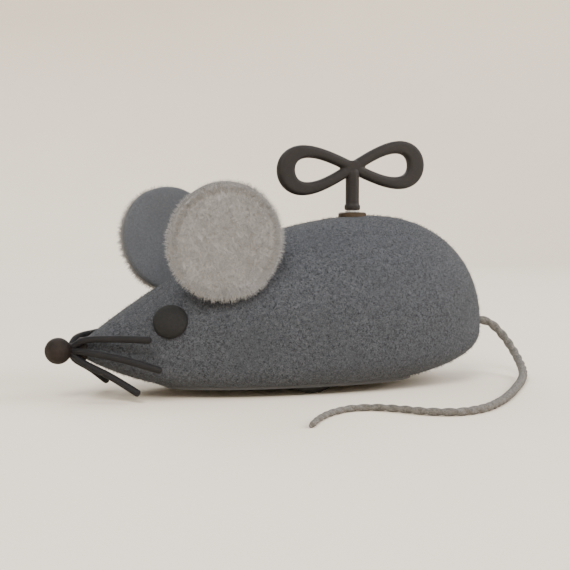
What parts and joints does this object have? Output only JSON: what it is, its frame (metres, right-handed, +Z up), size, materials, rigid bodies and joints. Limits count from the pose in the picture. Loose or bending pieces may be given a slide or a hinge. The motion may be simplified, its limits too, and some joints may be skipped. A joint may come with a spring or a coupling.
{
  "type": "clockwork mouse",
  "caption": "Wind-up toy mouse with a flocked casing, round ears, a winding key on its back, a cord tail, and a geared movement that drives two wheels.",
  "frame": {"origin": "the floor under the tyres, below the middle of the casing with its nose and grommet; the tail is left out", "axes": "+Z up; +X from the nose to the rump, so the mouse faces -X; +Y towards its right side"},
  "size_m": [0.1002, 0.0649, 0.0489],
  "materials": {
    "black_rubber": "black moulded rubber, matt",
    "blue_steel": "blued spring steel, polished",
    "brass": "stamped brass, lightly tarnished",
    "ear_felt": "dense blue-grey felt, dead matt",
    "ear_plush": "pale grey brushed plush, dead matt",
    "eye_black": "black, glossy",
    "flocked_shell": "fine grey flock over pressed tin, dead matt",
    "key_enamel": "warm black enamel on steel, satin",
    "nose_black": "warm black, satin",
    "steel": "turned steel, satin",
    "tail_cord": "grey twisted cord, matt",
    "tinplate": "bright tinplate with a rolled grain",
    "whisker_black": "black bristle, satin"
  },
  "bodies": {
    "casing": {"axle_bracket_left": "tinplate", "axle_bracket_right": "tinplate", "base_plate": "tinplate", "base_post_front": "steel", "base_post_rear_left": "steel", "base_post_rear_right": "steel", "base_screw_front": "steel", "base_screw_rear_left": "steel", "base_screw_rear_right": "steel", "body_shell": "flocked_shell", "ear_left": "ear_felt", "ear_lining_left": "ear_plush", "ear_lining_right": "ear_plush", "ear_right": "ear_felt", "eye_left": "eye_black", "eye_right": "eye_black", "key_bush": "brass", "lower_plate": "tinplate", "mainspring": "blue_steel", "nose": "nose_black", "pillar_front_left": "steel", "pillar_front_right": "steel", "pillar_rear_left": "steel", "pillar_rear_right": "steel", "roller_fork": "tinplate", "roller_pin": "steel", "tail": "tail_cord", "tail_grommet": "black_rubber", "upper_plate": "tinplate", "whisker_left_1": "whisker_black", "whisker_left_2": "whisker_black", "whisker_left_3": "whisker_black", "whisker_right_1": "whisker_black", "whisker_right_2": "whisker_black", "whisker_right_3": "whisker_black"},
    "great_wheel": {"great_wheel": "brass", "click_stud": "steel", "click_spring": "blue_steel"},
    "winding_arbor": {"winding_arbor": "steel", "ratchet_wheel": "steel", "key_stem": "key_enamel", "key_bow": "key_enamel"},
    "click": {"click_lever": "steel"},
    "crown_arbor": {"crown_arbor": "steel", "train_pinion": "steel", "crown_wheel": "brass"},
    "drive_axle": {"drive_axle": "steel", "axle_pinion": "brass", "drive_wheel_left": "tinplate", "drive_wheel_right": "tinplate", "tyre_left": "black_rubber", "tyre_right": "black_rubber"},
    "rear_roller": {"rear_roller": "black_rubber"}
  },
  "joints": [
    {"name": "train", "type": "hinge", "parent": "casing", "child": "great_wheel", "pos_m": [0.0171, 0, 0.0156], "axis": [0, 0, 1], "continuous": true},
    {"name": "winding", "type": "hinge", "parent": "great_wheel", "child": "winding_arbor", "pos_m": [0.0171, 0, 0.03], "axis": [0, 0, 1], "continuous": true},
    {"name": "click_pivot", "type": "hinge", "parent": "great_wheel", "child": "click", "pos_m": [0.02006, 0.00556, 0.017], "axis": [0, 0, 1], "range_deg": [0, 7]},
    {"name": "crown_spin", "type": "hinge", "parent": "casing", "child": "crown_arbor", "pos_m": [0.0021, 0, 0.0136], "axis": [0, 0, 1], "continuous": true},
    {"name": "axle_spin", "type": "hinge", "parent": "casing", "child": "drive_axle", "pos_m": [0.0021, 0, 0.0065], "axis": [0, 1, 0], "continuous": true},
    {"name": "roller_spin", "type": "hinge", "parent": "casing", "child": "rear_roller", "pos_m": [0.0171, 0, 0.0034], "axis": [0, 1, 0], "continuous": true}
  ],
  "couplings": [
    {"joint": "crown_spin", "follows": "train", "ratio": -4},
    {"joint": "axle_spin", "follows": "train", "ratio": -8.8}
  ]
}
